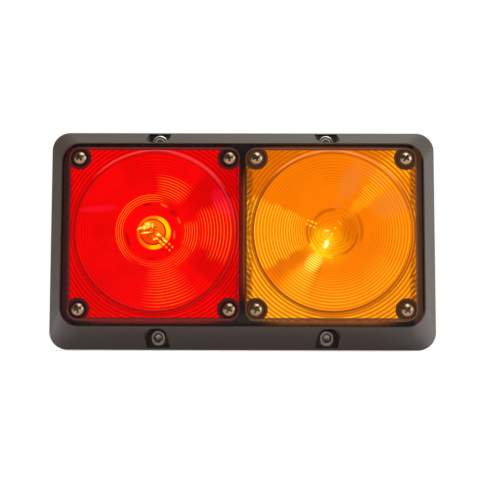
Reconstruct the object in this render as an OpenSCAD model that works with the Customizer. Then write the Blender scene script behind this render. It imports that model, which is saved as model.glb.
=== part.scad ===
// Rear lamp cluster for a trailer or truck: a moulded housing with sloped
// sides, and in it two lamp cells, each with a square lens (red stop and tail,
// amber indicator), a reflector, a bayonet holder and a globe bulb.
//
// Millimetres. X runs to the right, Z up, and the lenses face -Y. The origin
// is the centre of the mounting screw pattern, on the mounting face (y = 0).
// Each piece is drawn lying on its back, with z as its height in front of the
// mounting face, and stand() turns it upright.

/* [Housing] */
// Width of the sloped side, left and right
slope_run_w = 11.9; // [6:0.1:24]
// Width of the sloped side, above and below
slope_run_h = 12.7; // [12:0.1:24]
// Radius of the outer corners
outer_r = 10.5; // [8:0.5:16]
// Height of the upright skirt behind the slope
skirt_h = 8; // [6:0.5:16]
// Flat land round the rim of the opening
rim_land = 0.6; // [0.4:0.1:2]
// Thickness of the sloped walls
shell_t = 2.4; // [1.6:0.1:4]
// Thickness of the web between the rim and the cells
web_t = 2.4; // [1.6:0.1:4]
// Depth of the channel round the lenses
channel_d = 5; // [3:0.5:8]
// Channel width left and right of the lenses
channel_side = 4.2; // [3:0.1:8]
// Channel width above and below the lenses
channel_top = 2.7; // [2:0.1:6]
// Thickness of the stiffening ribs at the back
rib_t = 2; // [1.2:0.1:4]

/* [Lamp cells] */
// Thickness of the walls round each lamp cell
cell_t = 2.5; // [2:0.1:3.5]
// Thickness of the cell floors
floor_t = 2.5; // [1.5:0.1:4]
// Height of the cell floors above the mounting face
floor_lift = 1.5; // [1.5:0.1:4]
// Height of the pad under a bulb holder, above the cell floor
pad_lift = 1.5; // [1:0.1:3]
// Height of the cell rims above the channel
seat_lift = 1; // [0.5:0.1:2]
// Thickness of the lip that holds a cell behind the web
lip_t = 1.6; // [1:0.1:3]

/* [Lenses] */
// Width of one lens
lens_w = 93; // [88:1:100]
// Height of one lens
lens_h = 94; // [88:1:100]
// Gap between the two lenses
lens_gap = 2.6; // [2:0.1:6]
// How far the lens faces stand in front of the rim
lens_proud = 5; // [2:0.5:8]
// Thickness of the lens face
lens_t = 2.8; // [2.2:0.1:4]
// Thickness of the gasket under a lens, as clamped
gasket_t = 1; // [0.5:0.1:2]
// Edge chamfer of the lens face
lens_chamfer = 0.9; // [0.4:0.1:1.5]
// Distance from the raised round field to the lens edge
disc_inset = 3.2; // [3:0.1:8]
// How far the round field of the red lens lies to the right of its middle
red_field_x = 0.9; // [-1:0.1:1.5]
// How far the round field of the amber lens lies to the right of its middle
amber_field_x = 1.2; // [-1:0.1:1.5]
// How far the round fields lie above the middle of their lenses
field_y = 1.1; // [-1.2:0.1:1.2]
// Height of the raised round field
disc_rise = 1.2; // [0.6:0.1:2]
// Radius of the plain window in front of the bulb
window_r = 16; // [12:0.5:24]
// Pitch of the fine rings, next to the window
ring_pitch = 1.13; // [1:0.01:2]
// How much wider each fine ring is than the last
ring_growth = 0.04; // [0.01:0.01:0.08]
// Depth of the fine rings
ring_d = 0.5; // [0.2:0.1:1]
// Pitch of the coarse rings in the corners
corner_pitch = 2; // [1.6:0.1:4]
// Depth of the coarse rings
corner_d = 0.9; // [0.4:0.1:1.2]

/* [Lens screws] */
// Distance from a lens screw to the lens edges
screw_inset = 6; // [5.5:0.1:8]
// Outer diameter of the lens screw thread
screw_d = 3.5; // [3:0.1:4.5]
// Length of a lens screw below its head
screw_l = 19; // [14:1:24]
// Diameter of the lens screw head
screw_head_d = 7; // [6:0.1:8.4]
// Height of the lens screw head
screw_head_h = 2.5; // [1.8:0.1:3.5]
// Depth of the flat recess under a lens screw head
screw_seat_d = 0.8; // [0.4:0.1:1.5]
// Radius of the pillars that take the lens screws
pillar_r = 6.2; // [5:0.1:7]

/* [Mounting] */
// Distance from a mounting screw to the outer edge above or below it
mount_inset = 7; // [6.2:0.1:7.5]
// Diameter of the mounting screws
mount_d = 5; // [4:0.5:6]
// Length of a mounting screw below its head
mount_l = 20; // [16:1:40]
// Head diameter of a mounting screw
mount_head_d = 8.5; // [7:0.1:9]
// Head height of a mounting screw
mount_head_h = 5; // [4:0.5:6]
// Width across the flats of the hexagon socket
mount_hex = 4; // [3:0.5:5]
// Outer diameter of the washers
washer_d = 9; // [8:0.1:9.4]
// Thickness of the washers
washer_t = 1; // [0.5:0.1:1.6]
// Thickness of the housing under a washer
mount_seat = 8.5; // [5:0.5:12]
// Width of a screw pocket
pocket_w = 12.8; // [11:0.1:18]
// Corner radius of a screw pocket
pocket_r = 4.5; // [3:0.1:5]
// Thickness of the lip between a pocket and the outer edge
pocket_lip = 1.4; // [1:0.1:2]
// Thickness of the pocket walls
pocket_t = 2; // [1.2:0.1:3]

/* [Reflectors] */
// Flat between the mouth of the reflector bowl and the cell wall
bowl_inset = 2; // [1:0.1:4]
// Radius of the hole for the bulb
bulb_hole_r = 13; // [12.5:0.1:15]
// Focal length of the bowl
bowl_focus = 19.5; // [18:0.5:30]
// Thickness of the reflector sheet
reflector_t = 1.2; // [0.8:0.1:1.6]
// Depth of the reflector flange below the cell rim
reflector_drop = 1.4; // [0.4:0.1:2]

/* [Bulbs] */
// How far the red bulb sits to the right of the middle of its cell
red_bulb_x = -1.4; // [-2.5:0.1:2.5]
// How far the red bulb sits above the middle of its cell
red_bulb_y = 1.9; // [-2.8:0.1:2.8]
// Diameter of the glass globe
globe_d = 19; // [16:0.5:20]
// Length of a bulb, from its contact to the tip of the glass
bulb_l = 35; // [33:0.5:36]
// Gap between the tip of a bulb and the inside of the lens
bulb_gap = 2.2; // [1:0.1:8]
// Thickness of the bulb glass
glass_t = 0.7; // [0.5:0.1:1]
// Diameter of the brass cap
cap_d = 15; // [14:0.1:15.2]
// Length of the brass cap
cap_l = 15; // [13:0.5:17]
// Length of the filament coil
coil_l = 5.5; // [4:0.5:7]

/* [Bulb holders] */
// Thickness of the insulating base
base_t = 3; // [2:0.1:4]
// Thickness of the holder sheet metal
sheet_t = 0.8; // [0.5:0.1:1]
// Length of the holder tube
tube_l = 15.5; // [13:0.5:18]
// Distance between the two screws of a holder
holder_pitch = 27; // [25:1:34]
// Width of the blade terminals
blade_w = 6.3; // [4.8:0.1:6.3]
// Head diameter of a holder screw
holder_head_d = 5.6; // [5:0.1:6]
// Head height of a holder screw
holder_head_h = 2; // [1.6:0.1:2.4]

/* [Cable entry] */
// Distance from the cable entry to the inner wall of its cell
entry_in = 16; // [10:0.5:18]
// Distance from the cable entry to the lower wall of its cell
entry_up = 19; // [12:0.5:20]
// Diameter of the hole in the cell floor
entry_d = 12; // [10:0.5:16]
// Bore of the rubber grommet
cable_d = 6; // [5:0.5:8]
// Diameter of the wire hole between the cells
wire_hole_d = 7; // [5:0.5:9]

/* [Fits] */
// Play round screws in plain holes
screw_play = 0.25; // [0.1:0.05:0.5]
// Play between a driven screw and its cut thread
thread_play = 0.05; // [0.02:0.01:0.1]
// Play between a cell and the hole in the web of the housing
cell_play = 0.1; // [0.05:0.05:0.3]
// Gap between the lips of the two cells, and between a lip and the ribs
lip_gap = 0.6; // [0.4:0.1:1]
// Play between the reflector and the cell
reflector_play = 0.5; // [0.2:0.1:1]
// Play between the bulb cap and its holder
cap_play = 0.1; // [0.05:0.05:0.3]
// Cement between the neck of a bulb glass and its cap
cement_gap = 0.1; // [0.05:0.05:0.3]
// Play between the bulb pins and their slots
pin_play = 0.1; // [0.05:0.05:0.3]

/* [Hidden] */
$fn = 64;
eps = 0.01;

// How far the contacts of a bulb stand above the base of its holder
contact_lift = 2.5;

// Heights above the mounting face, from the cell floor through the bulb to the lens
floor_z = floor_lift + floor_t;
pad_z = floor_z + pad_lift;
base_z = pad_z + base_t;
contact_z = base_z + contact_lift;
lens_front_z = contact_z + bulb_l + bulb_gap + lens_t;
rim_z = lens_front_z - lens_proud;
slope_d = rim_z - skirt_h;
channel_z = rim_z - channel_d;
web_z = channel_z - web_t;
seat_z = channel_z + seat_lift;
lens_back_z = seat_z + gasket_t;

// Places of the cells, and of what repeats in each
lens_pitch = lens_w + lens_gap;
red_x = -lens_pitch / 2;
amber_x = lens_pitch / 2;
opening_w = lens_pitch + lens_w + 2 * channel_side;
opening_h = lens_h + 2 * channel_top;
opening_r = outer_r - 0.5;
rim_w = opening_w + 2 * rim_land;
rim_h = opening_h + 2 * rim_land;
outer_w = rim_w + 2 * slope_run_w;
outer_h = rim_h + 2 * slope_run_h;
lip_w = (lens_gap - lip_gap) / 2;
cavity_w = lens_w - 2 * cell_t;
cavity_h = lens_h - 2 * cell_t;
cavity_r = 3;
screw_x = lens_w / 2 - screw_inset;
screw_y = lens_h / 2 - screw_inset;
mount_x = lens_pitch;
mount_y = outer_h / 2 - mount_inset;

// Screws
screw_seat_z = lens_front_z - screw_seat_d;
mount_head_z = mount_seat + washer_t;
cross_turns = [17, 62, 34, 8, 71, 48, 25, 55];

// Rings of a lens, with a plain edge inside and outside the round field
disc_edge = 0.9;
disc_r = min(lens_w, lens_h) / 2 - disc_inset;
fine_count = floor((sqrt(pow(ring_pitch - ring_growth / 2, 2)
    + 2 * ring_growth * (disc_r - disc_edge - window_r)) - ring_pitch + ring_growth / 2)
    / ring_growth);
corner_count = ceil((norm([lens_w, lens_h]) / 2 - disc_r) / corner_pitch);

// Reflector
bowl_r = min(cavity_w, cavity_h) / 2 - bowl_inset;
flange_z = seat_z - reflector_drop - reflector_t;
bowl_vertex_z = flange_z + reflector_t - bowl_r * bowl_r / (4 * bowl_focus);
ledge_w = 2;
ledge_in = 2;
ledge_y = 0.32 * cavity_h;

// Bulb and holder
red_bulb = [red_x + red_bulb_x, red_bulb_y];
amber_bulb = [amber_x, 0];
ear_w = 10;
pad_w = holder_pitch + ear_w + 1;
pad_h = 2 * ear_w;
ear_z = base_z + sheet_t;
tube_ri = cap_d / 2 + cap_play;
tube_ro = tube_ri + sheet_t;
tube_z = base_z + tube_l;
cap_z = contact_z + 1.5;
cap_top_z = cap_z + cap_l;
neck_z = cap_top_z - 3.5;
neck_r = cap_d / 2 - 0.6;
globe_z = contact_z + bulb_l - globe_d / 2;
lead_d = 0.6;
pin_r = 1;
pin_z = cap_z + cap_l / 3;
pin_turn = -28;
holder_screw_d = 3;
holder_screw_l = 6.5;
leaf_t = 0.5;
leaf_w = 3;
blade_t = 0.8;

// Cable entry, beside the bulb in the red cell
entry_x = red_x + cavity_w / 2 - entry_in;
entry_y = entry_up - cavity_h / 2;
entry_flange = 2;
wire_hole_z = 12;

// Turns a piece that was drawn lying on its back upright, facing -Y
module stand() {
    rotate([90, 0, 0]) children();
}

// Flat outline of a rectangle with round corners, about the origin
module rounded(w, h, r) {
    square([w - 2 * r, h], center = true);
    square([w, h - 2 * r], center = true);
    for (x = [-1, 1], y = [-1, 1])
        translate([x * (w / 2 - r), y * (h / 2 - r)]) circle(r);
}

// An outline made solid between two heights
module slab(from, to) {
    translate([0, 0, from]) linear_extrude(height = to - from) children();
}

// Repeats its children at the four corners of a w by h rectangle
module corners(w, h) {
    for (x = [-1, 1], y = [-1, 1])
        translate([x * w / 2, y * h / 2, 0]) children();
}

// Width and height of the sloped sides at height z
function slope_w(z) = outer_w - (outer_w - rim_w) * (z - skirt_h) / slope_d;
function slope_h(z) = outer_h - (outer_h - rim_h) * (z - skirt_h) / slope_d;

// Outside of the housing: an upright skirt, then sides that lean inwards
module housing_outside() {
    slab(0, skirt_h) rounded(outer_w, outer_h, outer_r);
    hull() {
        slab(skirt_h - eps, skirt_h) rounded(outer_w, outer_h, outer_r, $fn = 96);
        slab(rim_z - eps, rim_z) rounded(rim_w, rim_h, opening_r + rim_land, $fn = 96);
    }
}

// Hollow back, which leaves the sloped walls and the web of the rim
module housing_hollow() {
    r = outer_r - shell_t;
    slab(-1, skirt_h) rounded(outer_w - 2 * shell_t, outer_h - 2 * shell_t, r);
    hull() {
        slab(skirt_h - eps, skirt_h)
            rounded(outer_w - 2 * shell_t, outer_h - 2 * shell_t, r, $fn = 96);
        slab(web_z - eps, web_z)
            rounded(slope_w(web_z) - 2 * shell_t, slope_h(web_z) - 2 * shell_t, r, $fn = 96);
    }
}

// Outline of a screw pocket, widened by grow, at the upper edge of the housing
module pocket_outline(grow) {
    low = rim_h / 2 + rim_land - grow;
    high = outer_h / 2 - pocket_lip;
    w = pocket_w + 2 * grow;
    r = pocket_r + grow;
    translate([-w / 2, low + r]) square([w, high - low - r]);
    translate([-w / 2 + r, low]) square([w - 2 * r, r]);
    for (x = [-1, 1]) translate([x * (w / 2 - r), low + r]) circle(r);
}

// Its children, at the upper and the lower mounting screws
module mount_places() {
    for (x = [-1, 1], side = [0, 1])
        mirror([0, side, 0]) translate([x * mount_x / 2, 0, 0]) children();
}

// Stiffening ribs inside the sloped walls, clear of the cells
module ribs() {
    around = 2 * (lip_w + lip_gap);
    difference() {
        union() {
            for (x = [-0.25, 0.25, -0.75, 0.75])
                translate([x * lens_pitch - rib_t / 2, -outer_h / 2, floor_lift])
                    cube([rib_t, outer_h, channel_z - floor_lift]);
            for (y = [-1, 1])
                translate([-outer_w / 2, y * lens_h / 4 - rib_t / 2, floor_lift])
                    cube([outer_w, rib_t, channel_z - floor_lift]);
        }
        slab(0, web_z) rounded(lens_pitch + lens_w + around, lens_h + around, screw_inset);
    }
}

// Inside of a lamp cell, less the pillars, the ledges and the holder's pad
module cell_cavity(x, bulb) {
    difference() {
        slab(floor_z, rim_z) rounded(cavity_w, cavity_h, cavity_r);
        corners(2 * screw_x, 2 * screw_y)
            translate([0, 0, floor_lift]) cylinder(r = pillar_r, h = seat_z - floor_lift);
        for (x = [-1, 1], y = [-1, 1])
            translate([x * (cavity_w / 2 - ledge_in / 2), y * ledge_y, 0])
                slab(floor_lift, flange_z) square([ledge_in + eps, ledge_w], center = true);
        translate([bulb[0] - x, bulb[1], 0])
            slab(floor_lift, pad_z) rounded(pad_w, pad_h, cavity_r);
    }
}

// One moulding: sloped shell, channel with a hole for each cell, screw pockets
module housing() {
    color("#4a443e") stand() difference() {
        union() {
            difference() {
                housing_outside();
                housing_hollow();
            }
            intersection() {
                housing_outside();
                union() {
                    ribs();
                    mount_places() slab(0, rim_z) {
                        pocket_outline(pocket_t);
                        translate([-pocket_w / 2 - pocket_t, outer_h / 2 - pocket_lip - eps])
                            square([pocket_w + 2 * pocket_t, pocket_lip + eps]);
                    }
                }
            }
        }
        // Channel round the lenses, and the holes that the cells stand in
        slab(channel_z, rim_z + 1) rounded(opening_w, opening_h, opening_r);
        for (x = [red_x, amber_x]) translate([x, 0, 0]) slab(web_z - 1, channel_z + 1)
            rounded(lens_w + 2 * cell_play, lens_h + 2 * cell_play, screw_inset + cell_play);
        // Screw pockets and the holes at their floors
        mount_places() {
            slab(mount_seat, rim_z + 1) pocket_outline(0);
            translate([0, mount_y, -1])
                cylinder(r = mount_d / 2 + screw_play, h = mount_seat + 2);
        }
    }
}

// One lamp cell: an open box with a pillar in each corner and a pad for the
// bulb holder. Its lip is welded to the back of the housing's web.
module cell(x, bulb) {
    color("#3d3833") stand() difference() {
        translate([x, 0, 0]) {
            slab(floor_lift, seat_z) rounded(lens_w, lens_h, screw_inset);
            slab(web_z - lip_t, web_z)
                rounded(lens_w + 2 * lip_w, lens_h + 2 * lip_w, screw_inset + lip_w);
        }
        translate([x, 0, 0]) {
            cell_cavity(x, bulb);
            corners(2 * screw_x, 2 * screw_y)
                translate([0, 0, screw_seat_z - screw_l - 1])
                    cylinder(r = screw_d / 2 + thread_play, h = screw_l);
        }
        for (side = [-1, 1]) translate([bulb[0] + side * holder_pitch / 2, bulb[1],
                                        ear_z - holder_screw_l - screw_play])
            cylinder(r = holder_screw_d / 2 + thread_play, h = holder_screw_l);
        // Cable entry of the red cell, and the wire hole between the cells
        translate([entry_x, entry_y, 0]) cylinder(r = entry_d / 2, h = floor_z + 1);
        translate([-lens_gap / 2 - cell_t - 1, entry_y, wire_hole_z])
            rotate([0, 90, 0]) cylinder(r = wire_hole_d / 2, h = lens_gap + 2 * cell_t + 2);
    }
}

module red_cell() {
    cell(red_x, red_bulb);
}

module amber_cell() {
    cell(amber_x, amber_bulb);
}

// Saw-tooth rings, cut into the inner face of a lens from r0 outwards
module ring_cutter(r0, pitch, growth, depth, count) {
    back = lens_front_z - lens_t;
    function edge(i) = r0 + i * pitch + growth * i * (i - 1) / 2;
    rotate_extrude() polygon(concat(
        [[r0, back - 1]],
        [for (i = [0 : count - 1], k = [0, 1])
            k == 0 ? [edge(i), back + depth] : [edge(i + 1) - 0.05, back]],
        [[edge(count), back - 1]]
    ));
}

// One lens: a deep square cap with a raised round field, rings inside, and a
// clear column at each corner for its screw
module lens(x, field_x) {
    stand() translate([x, 0, 0]) difference() {
        union() {
            slab(lens_back_z, lens_front_z - lens_chamfer)
                rounded(lens_w, lens_h, screw_inset);
            hull() {
                slab(lens_front_z - lens_chamfer - eps, lens_front_z - lens_chamfer)
                    rounded(lens_w, lens_h, screw_inset);
                slab(lens_front_z - eps, lens_front_z)
                    rounded(lens_w - 2 * lens_chamfer, lens_h - 2 * lens_chamfer,
                            screw_inset - lens_chamfer);
            }
            // Raised field with a rounded shoulder
            translate([field_x, field_y, 0]) rotate_extrude($fn = 128) {
                translate([0, lens_front_z - 1]) square([disc_r, 1 + disc_rise / 2]);
                translate([0, lens_front_z]) square([disc_r - disc_rise / 2, disc_rise]);
                translate([disc_r - disc_rise / 2, lens_front_z + disc_rise / 2])
                    circle(disc_rise / 2, $fn = 32);
            }
        }
        difference() {
            union() {
                slab(lens_back_z - 1, lens_front_z - lens_t)
                    rounded(cavity_w, cavity_h, cavity_r);
                intersection() {
                    slab(lens_back_z - 1, lens_front_z)
                        rounded(cavity_w, cavity_h, cavity_r);
                    translate([field_x, field_y, 0]) {
                        ring_cutter(window_r, ring_pitch, ring_growth, ring_d, fine_count);
                        ring_cutter(disc_r + disc_edge, corner_pitch, 0, corner_d,
                                    corner_count);
                    }
                }
            }
            corners(2 * screw_x, 2 * screw_y)
                translate([0, 0, lens_back_z - 1]) cylinder(r = pillar_r, h = lens_front_z);
        }
        corners(2 * screw_x, 2 * screw_y) {
            translate([0, 0, lens_back_z - 1])
                cylinder(r = screw_d / 2 + screw_play, h = lens_front_z);
            translate([0, 0, screw_seat_z])
                cylinder(r = screw_head_d / 2 + 1, h = lens_front_z);
        }
    }
}

module red_lens() {
    color("#e00000") lens(red_x, red_field_x);
}

module amber_lens() {
    color("#ff8200") lens(amber_x, amber_field_x);
}

// Flat rubber gasket under a lens: a frame with an ear round each screw
module lens_gasket(x) {
    color("#1c1a19") stand() translate([x, 0, 0]) slab(seat_z, lens_back_z) difference() {
        rounded(lens_w, lens_h, screw_inset);
        difference() {
            rounded(cavity_w, cavity_h, cavity_r);
            for (i = [-1, 1], j = [-1, 1])
                translate([i * screw_x, j * screw_y]) circle(pillar_r);
        }
        for (i = [-1, 1], j = [-1, 1])
            translate([i * screw_x, j * screw_y]) circle(screw_d / 2 + screw_play);
    }
}

module red_lens_gasket() {
    lens_gasket(red_x);
}

module amber_lens_gasket() {
    lens_gasket(amber_x);
}

// Pan-head screw with a cross recess, its seat at height zero
module pan_screw(d, l, head_d, head_h, turn) {
    dome_r = (head_d * head_d / 4 + head_h * head_h) / (2 * head_h) + 0.6;
    difference() {
        union() {
            translate([0, 0, -l]) cylinder(r = d / 2, h = l + eps);
            intersection() {
                cylinder(r = head_d / 2, h = head_h);
                translate([0, 0, head_h - dome_r]) sphere(r = dome_r);
            }
        }
        rotate([0, 0, turn]) for (a = [0, 90]) rotate([0, 0, a])
            translate([-0.29 * head_d, -0.07 * head_d, 0.35 * head_h])
                cube([0.58 * head_d, 0.14 * head_d, head_h]);
    }
}

// The four screws of one lens, each cross turned as it came to rest
module lens_screws(x, first) {
    places = [[-1, -1], [1, -1], [-1, 1], [1, 1]];
    color("#b9ac9c") stand() for (i = [0 : 3])
        translate([x + places[i][0] * screw_x, places[i][1] * screw_y, screw_seat_z])
            pan_screw(screw_d, screw_l, screw_head_d, screw_head_h, cross_turns[first + i]);
}

module red_lens_screws() {
    lens_screws(red_x, 0);
}

module amber_lens_screws() {
    lens_screws(amber_x, 4);
}

// Height of the bowl's bright side at radius r
function bowl_z(r) = bowl_vertex_z + r * r / (4 * bowl_focus);

// Reflector: a parabolic bowl in a square flange, cut away for the pillars
module reflector(x, bulb) {
    steps = 20;
    hole_r = bulb_hole_r - norm([bulb[0] - x, bulb[1]]) - eps;
    radii = [for (i = [0 : steps]) hole_r + (bowl_r - hole_r) * i / steps];
    w = cavity_w - 2 * reflector_play;
    h = cavity_h - 2 * reflector_play;
    color("#d8d8d6") stand() translate([x, 0, 0]) {
        difference() {
            slab(flange_z, flange_z + reflector_t) rounded(w, h, cavity_r);
            translate([0, 0, flange_z - 1]) cylinder(r = bowl_r, h = reflector_t + 2);
            corners(2 * screw_x, 2 * screw_y)
                translate([0, 0, flange_z - 1])
                    cylinder(r = pillar_r + reflector_play, h = reflector_t + 2);
        }
        difference() {
            rotate_extrude() polygon(concat(
                [for (r = radii) [r, bowl_z(r)]],
                [[bowl_r + 0.3, flange_z + reflector_t], [bowl_r + 0.3, flange_z]],
                [for (i = [steps : -1 : 0]) [radii[i], bowl_z(radii[i]) - reflector_t]]
            ));
            translate([bulb[0] - x, bulb[1], 0]) cylinder(r = bulb_hole_r, h = flange_z);
        }
    }
}

module red_reflector() {
    reflector(red_x, red_bulb);
}

module amber_reflector() {
    reflector(amber_x, amber_bulb);
}

// Glass envelope: a globe on a short neck that stands in the cap
module bulb_glass(bulb) {
    color("#f4f0e6", 0.4) stand() translate(bulb) rotate_extrude() difference() {
        union() {
            translate([0, globe_z]) circle(globe_d / 2);
            translate([0, neck_z]) square([neck_r, globe_z - neck_z]);
        }
        translate([0, globe_z]) circle(globe_d / 2 - glass_t);
        translate([-1, neck_z - 1]) square([neck_r - glass_t + 1, globe_z - neck_z + 1]);
        translate([-globe_d, 0]) square([globe_d, 2 * globe_z]);
    }
}

module red_bulb_glass() {
    bulb_glass(red_bulb);
}

module amber_bulb_glass() {
    bulb_glass(amber_bulb);
}

// A lead wire between two points given in the plane of the filament
module lead(from, to, y, d) {
    run = to - from;
    translate([from[0], y, from[1]]) rotate([0, atan2(run[0], run[1]), 0])
        cylinder(r = d / 2, h = norm(run), $fn = 16);
}

// A coiled filament along X at height z, on its two leads
module coil(y, z, length) {
    turns = 9;
    translate([-length / 2, y, z]) rotate([0, 90, 0]) {
        cylinder(r = 0.35, h = length, $fn = 16);
        for (i = [0 : turns - 1])
            translate([0, 0, (i + 0.5) * length / turns])
                cylinder(r = 0.55, h = 0.35 * length / turns, $fn = 16);
    }
    for (side = [-1, 1])
        lead([side * 1.6, neck_z + lead_d / 4], [side * length / 2, z], y, lead_d);
}

// Filament mount: one coil for an indicator, two for a stop and tail bulb
module bulb_filament(bulb, coils) {
    bead_w = 0.75 * neck_r;
    color("#e8c070") stand() translate(bulb) {
        translate([-bead_w / 2, -bead_w / 2, neck_z + bead_w]) cube([bead_w, bead_w, bead_w / 3]);
        coil(coils == 2 ? 1.6 : 0, globe_z, coil_l);
        if (coils == 2) coil(-1.6, globe_z - 1.5, 0.8 * coil_l);
    }
}

module red_bulb_filament() {
    bulb_filament(red_bulb, 2);
}

module amber_bulb_filament() {
    bulb_filament(amber_bulb, 1);
}

// Brass bayonet cap: a cup for the glass neck, with two locking pins
module bulb_cap(bulb) {
    color("#c9a24e") stand() translate(bulb) {
        difference() {
            translate([0, 0, cap_z]) cylinder(r = cap_d / 2, h = cap_l);
            translate([0, 0, neck_z]) cylinder(r = neck_r + cement_gap, h = cap_l);
        }
        for (side = [0, 180]) rotate([0, 0, side])
            translate([cap_d / 2 - 1, 0, pin_z]) rotate([0, 90, 0])
                cylinder(r = pin_r, h = 1 + cap_play + sheet_t);
    }
}

module red_bulb_cap() {
    bulb_cap(red_bulb);
}

module amber_bulb_cap() {
    bulb_cap(amber_bulb);
}

// Places of the contacts across the foot of a bulb
function contact_places(coils) = coils == 2 ? [-3.3, 3.3] : [0];

// Insulating foot of a bulb with its soldered contacts
module bulb_contacts(bulb, coils) {
    color("#2a2622") stand() translate(bulb) {
        translate([0, 0, contact_z + 0.5])
            cylinder(r1 = cap_d / 2 - 1.6, r2 = cap_d / 2 - 0.8, h = cap_z - contact_z - 0.5);
        for (y = contact_places(coils))
            translate([0, y, contact_z]) cylinder(r = 1.7, h = 1);
    }
}

module red_bulb_contacts() {
    bulb_contacts(red_bulb, 2);
}

module amber_bulb_contacts() {
    bulb_contacts(amber_bulb, 1);
}

// Pressed holder: a slotted tube on a strip with two ears
module holder_tube(bulb) {
    slot_w = 2 * (pin_r + pin_play);
    slot_a = asin(slot_w / 2 / tube_ri) + 1;
    slot_lift = 0.6;
    exit_w = leaf_w + 5;
    color("#c8b078") stand() translate(bulb) difference() {
        union() {
            slab(base_z, ear_z) rounded(holder_pitch + ear_w, ear_w, ear_w / 2 - eps);
            translate([0, 0, base_z]) cylinder(r = tube_ro, h = tube_l);
        }
        translate([0, 0, base_z - 1]) cylinder(r = tube_ri, h = tube_l + 2);
        for (side = [-1, 1]) translate([side * holder_pitch / 2, 0, base_z - 1])
            cylinder(r = holder_screw_d / 2 + screw_play, h = sheet_t + 2);
        // Bayonet slots: straight in, a quarter across, then back to lock
        for (side = [0, 180]) rotate([0, 0, side]) {
            rotate([0, 0, pin_turn]) translate([tube_ri - 1, -slot_w / 2, pin_z])
                cube([sheet_t + 2, slot_w, tube_l]);
            rotate([0, 0, pin_turn - slot_a])
                rotate_extrude(angle = 2 * slot_a - pin_turn)
                    translate([tube_ri - 1, pin_z - slot_w / 2])
                        square([sheet_t + 2, slot_w + slot_lift]);
        }
        // Way out for the contact strips
        translate([-exit_w / 2, -tube_ro - 1, base_z - 1])
            cube([exit_w, 2 * tube_ro + 2, leaf_t + 2.1]);
    }
}

module red_holder_tube() {
    holder_tube(red_bulb);
}

module amber_holder_tube() {
    holder_tube(amber_bulb);
}

// Insulating base between the holder and the cell floor
module holder_base(bulb) {
    color("#5a3a22") stand() translate(bulb) difference() {
        slab(pad_z, base_z) rounded(pad_w - 1, pad_h - 1, cavity_r);
        for (side = [-1, 1]) translate([side * holder_pitch / 2, 0, pad_z - 1])
            cylinder(r = holder_screw_d / 2 + screw_play, h = base_t + 2);
    }
}

module red_holder_base() {
    holder_base(red_bulb);
}

module amber_holder_base() {
    holder_base(amber_bulb);
}

// One contact strip: a leaf that springs up under the bulb and runs out to a
// blade terminal that stands up beside the base
module terminal_strip(y, side) {
    reach = pad_h / 2 + 3;
    blade_h = 8;
    outline = [
        [0, contact_z], [0, contact_z - leaf_t], [3, base_z], [reach + blade_t / 2, base_z],
        [reach + blade_t / 2, base_z + leaf_t], [3.2, base_z + leaf_t], [1, contact_z]
    ];
    mirror([0, side < 0 ? 1 : 0, 0]) translate([0, abs(y) - 0.5, 0]) {
        translate([leaf_w / 2, 0, 0]) rotate([90, 0, -90])
            mirror([1, 0, 0]) linear_extrude(height = leaf_w) polygon(outline);
        translate([-blade_w / 2, reach, base_z]) cube([blade_w, blade_t, blade_h]);
    }
}

// Contact strips of a holder, one for each filament of its bulb
module holder_terminals(bulb, coils) {
    color("#d2b45a") stand() translate(bulb)
        for (y = contact_places(coils)) terminal_strip(y, y < 0 ? -1 : 1);
}

module red_holder_terminals() {
    holder_terminals(red_bulb, 2);
}

module amber_holder_terminals() {
    holder_terminals(amber_bulb, 1);
}

// The two screws of one bulb holder
module holder_screws(bulb) {
    color("#b9b4aa") stand() for (side = [-1, 1])
        translate([bulb[0] + side * holder_pitch / 2, bulb[1], ear_z])
            pan_screw(holder_screw_d, holder_screw_l, holder_head_d, holder_head_h,
                      cross_turns[side + 1]);
}

module red_holder_screws() {
    holder_screws(red_bulb);
}

module amber_holder_screws() {
    holder_screws(amber_bulb);
}

// Cap-head mounting screws with a hexagon socket, in their pockets; a plain
// shank in the housing, and the thread behind the mounting face
module mounting_screws() {
    edge = 0.5;
    shank_r = 0.88 * mount_d / 2;
    stud_l = mount_l - mount_head_z;
    color("#8d857c") stand() mount_places() translate([0, mount_y, mount_head_z])
        difference() {
            union() {
                translate([0, 0, -mount_head_z]) cylinder(r = shank_r, h = mount_head_z + eps);
                translate([0, 0, edge - mount_l]) cylinder(r = mount_d / 2, h = stud_l - edge);
                translate([0, 0, -mount_l])
                    cylinder(r1 = mount_d / 2 - edge, r2 = mount_d / 2, h = edge);
                cylinder(r = mount_head_d / 2, h = mount_head_h - edge);
                translate([0, 0, mount_head_h - edge])
                    cylinder(r1 = mount_head_d / 2, r2 = mount_head_d / 2 - edge, h = edge);
            }
            translate([0, 0, mount_head_h / 2])
                cylinder(r = mount_hex / 2 / cos(30), h = mount_head_h, $fn = 6);
            translate([0, 0, mount_head_h / 2 - 0.8])
                cylinder(r1 = 0, r2 = mount_hex / 2, h = 0.8 + eps);
        }
}

// Plain washers under the mounting screws
module mounting_washers() {
    color("#a39b90") stand() mount_places() translate([0, mount_y, mount_seat])
        difference() {
            cylinder(r = washer_d / 2, h = washer_t);
            translate([0, 0, -1]) cylinder(r = mount_d / 2 + screw_play / 2, h = washer_t + 2);
        }
}

// Rubber grommet that lines the cable hole, with a lip on each side
module cable_grommet() {
    r = entry_d / 2;
    color("#161514") stand() translate([entry_x, entry_y, 0]) rotate_extrude() polygon([
        [cable_d / 2, 0.2], [r + entry_flange - 0.5, 0.2], [r + entry_flange, 0.7],
        [r + entry_flange, floor_lift], [r, floor_lift], [r, floor_z],
        [r + entry_flange, floor_z], [r + entry_flange - 1, floor_z + 1.6],
        [cable_d / 2 + 1, floor_z + 3], [cable_d / 2, floor_z + 3]
    ]);
}

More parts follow.
